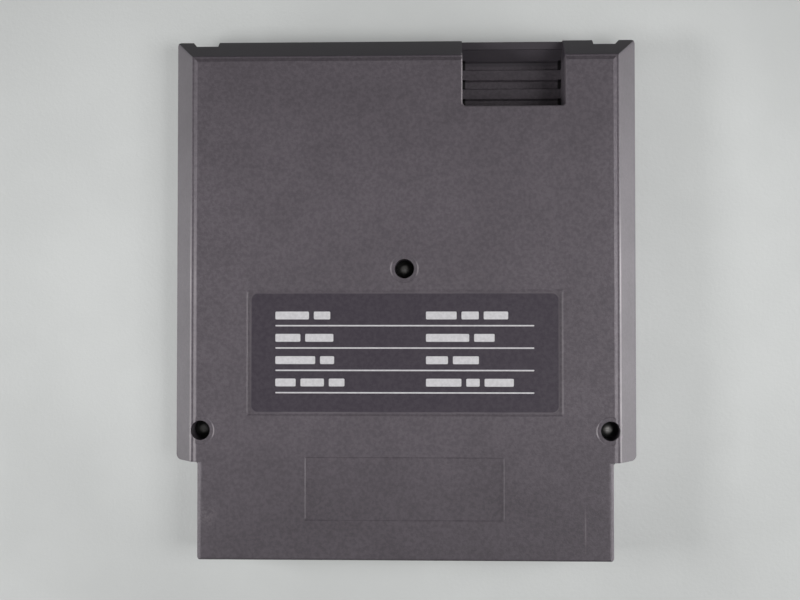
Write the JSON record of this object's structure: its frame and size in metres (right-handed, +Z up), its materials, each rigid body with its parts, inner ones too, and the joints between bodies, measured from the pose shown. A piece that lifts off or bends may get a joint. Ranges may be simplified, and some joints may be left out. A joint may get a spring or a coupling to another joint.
{
  "type": "game cartridge",
  "caption": "Flat moulded game cartridge with bevelled sides, a ribbed finger recess, a sticker on its back and a card-edge circuit board inside its open plug end.",
  "frame": {"origin": "under the middle of the case, on the front face that it lies on", "axes": "+Z up out of the back face, +Y towards the top end with the finger recess, -Y towards the plug, +X to the recess's side"},
  "size_m": [0.12, 0.1344, 0.017],
  "materials": {
    "case_plastic": "fine spark texture on the panels, smoother bevels",
    "sticker": "satin printed sticker",
    "screw_steel": "dull plated",
    "board_laminate": "green lacquered laminate",
    "contact_gold": "gold plated",
    "chip_resin": "moulded black resin",
    "tinned_metal": "tinned",
    "can_aluminium": "drawn",
    "bung_rubber": "matt",
    "disc_coating": "dipped resin"
  },
  "bodies": {
    "root": {"back_shell": "case_plastic", "front_shell": "case_plastic", "rear_label": "sticker", "case_screws": "screw_steel", "circuit_board": "board_laminate", "component_side_contacts": "contact_gold", "solder_side_contacts": "contact_gold", "program_chip": "chip_resin", "program_chip_pins": "tinned_metal", "picture_chip": "chip_resin", "picture_chip_pins": "tinned_metal", "lockout_chip": "chip_resin", "lockout_chip_pins": "tinned_metal", "supply_capacitor_can": "can_aluminium", "supply_capacitor_bung": "bung_rubber", "supply_capacitor_leads": "tinned_metal", "bypass_capacitor_a": "disc_coating", "bypass_capacitor_a_leads": "tinned_metal", "bypass_capacitor_b": "disc_coating", "bypass_capacitor_b_leads": "tinned_metal"}
  },
  "joints": []
}
